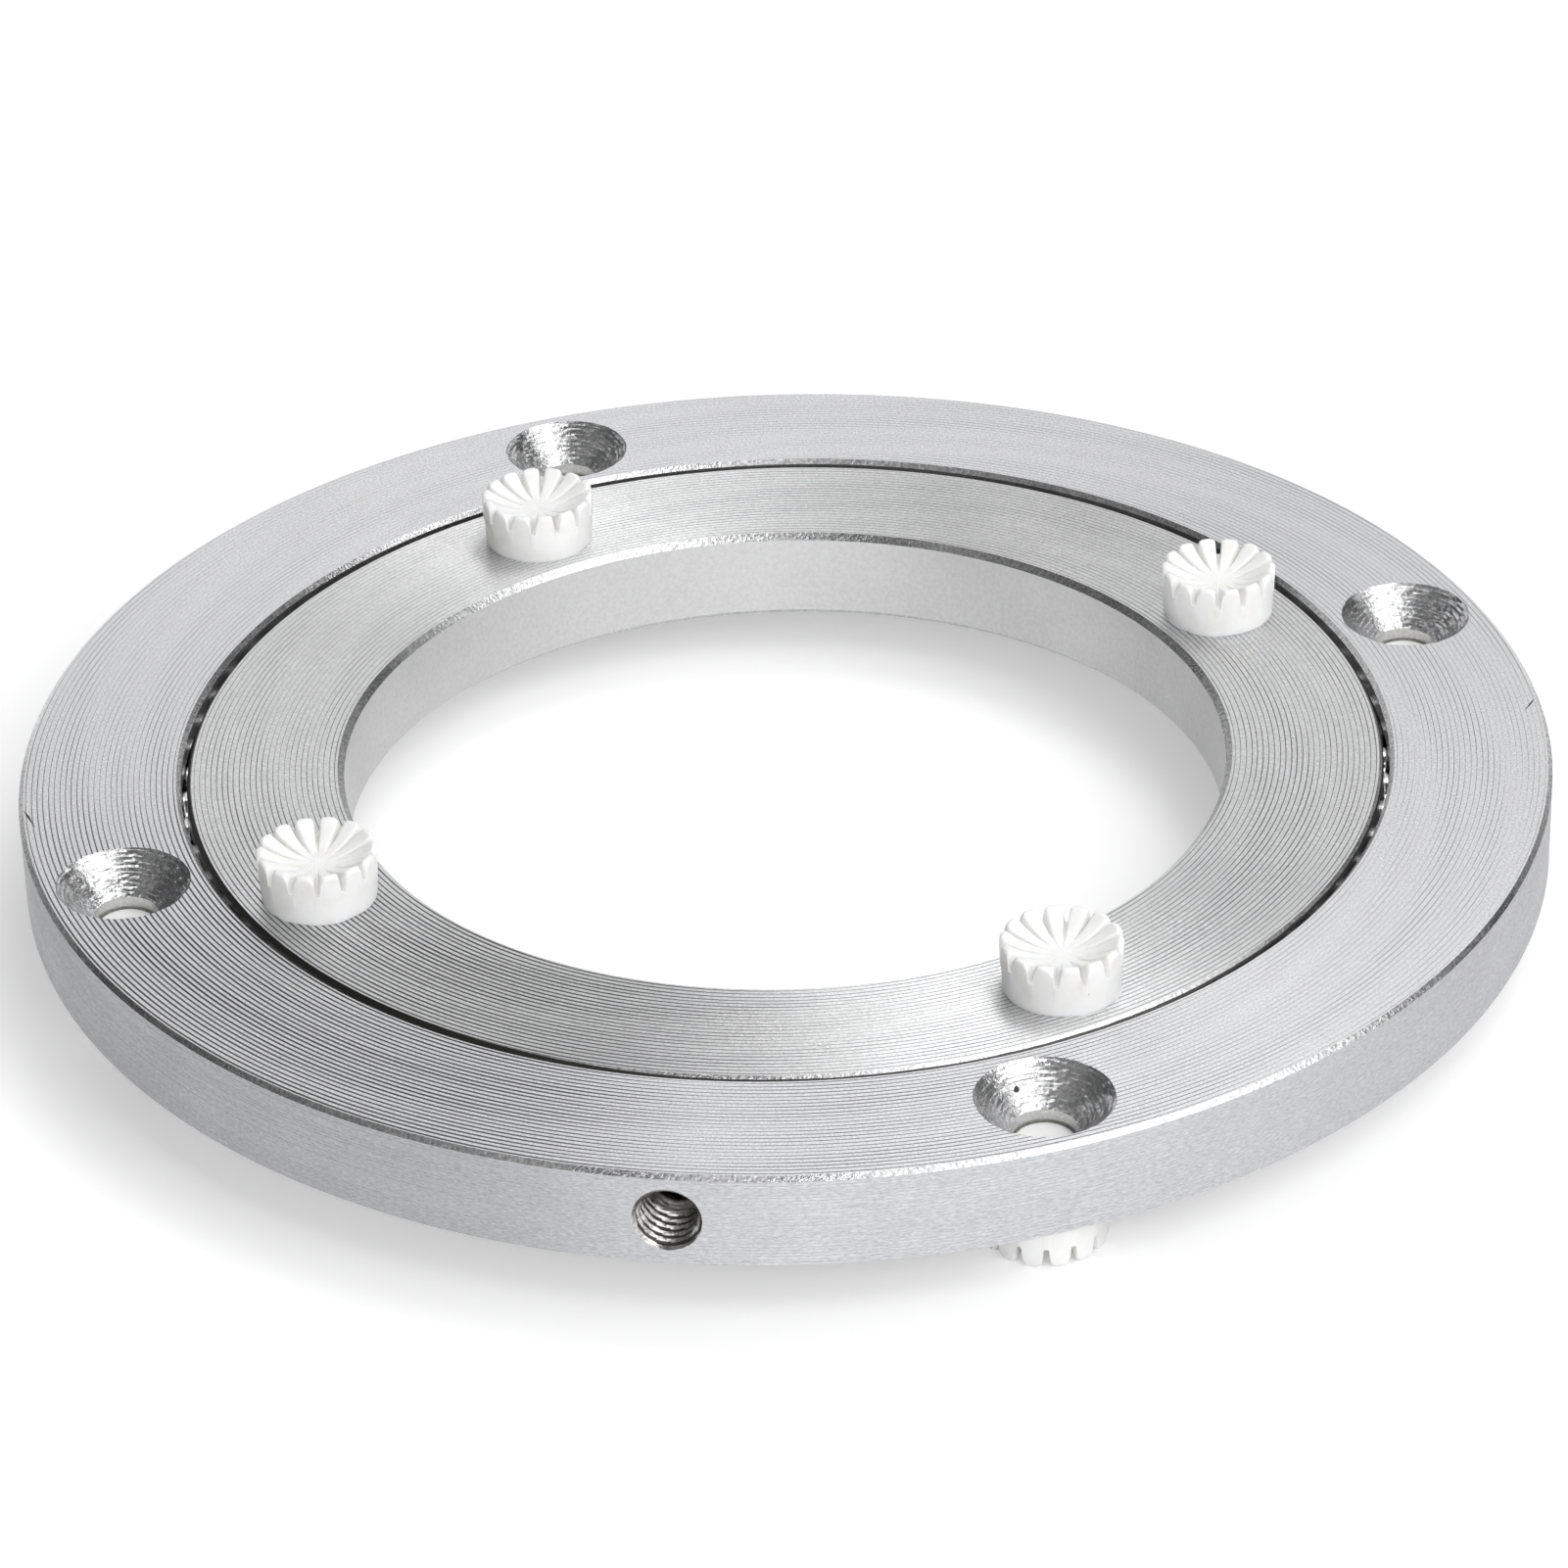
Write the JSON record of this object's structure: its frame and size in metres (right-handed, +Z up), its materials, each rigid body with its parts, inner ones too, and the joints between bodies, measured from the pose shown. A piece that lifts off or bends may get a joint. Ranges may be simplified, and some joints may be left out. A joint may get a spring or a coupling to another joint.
{
  "type": "lazy susan bearing",
  "caption": "Flat aluminium turntable bearing: an inner ring turns on a ball row inside a countersunk outer ring, with fluted plastic pads on top and matching feet below.",
  "frame": {"origin": "on the turning axis, in the plane that the feet stand on", "axes": "+Z up along the turning axis, +X through a screw hole of the outer ring"},
  "size_m": [0.12, 0.12, 0.0158],
  "materials": {
    "turned_aluminium": "fine turned grooves, blasted and clear anodised, satin",
    "plug_steel": "plain steel, slightly oily",
    "ball_steel": "polished",
    "white_plastic": "soft white, slightly translucent, satin"
  },
  "bodies": {
    "fixed_ring": {"outer_ring": "turned_aluminium", "filler_plug_screw": "plug_steel", "foot_1": "white_plastic", "foot_2": "white_plastic", "foot_3": "white_plastic", "foot_4": "white_plastic"},
    "turning_ring": {"inner_ring": "turned_aluminium", "top_pad_1": "white_plastic", "top_pad_2": "white_plastic", "top_pad_3": "white_plastic", "top_pad_4": "white_plastic"},
    "ball_row": {"ball_group_01": "ball_steel", "ball_group_02": "ball_steel", "ball_group_03": "ball_steel", "ball_group_04": "ball_steel", "ball_group_05": "ball_steel", "ball_group_06": "ball_steel", "ball_group_07": "ball_steel", "ball_group_08": "ball_steel", "ball_group_09": "ball_steel", "ball_group_10": "ball_steel", "ball_group_11": "ball_steel", "ball_group_12": "ball_steel"}
  },
  "joints": [
    {"name": "ring_turn", "type": "hinge", "parent": "fixed_ring", "child": "turning_ring", "pos_m": [0, 0, 0.00775], "axis": [0, 0, 1], "continuous": true},
    {"name": "ball_orbit", "type": "hinge", "parent": "fixed_ring", "child": "ball_row", "pos_m": [0, 0, 0.00788], "axis": [0, 0, 1], "continuous": true}
  ],
  "couplings": [
    {"joint": "ball_orbit", "follows": "ring_turn", "ratio": 0.4788}
  ]
}
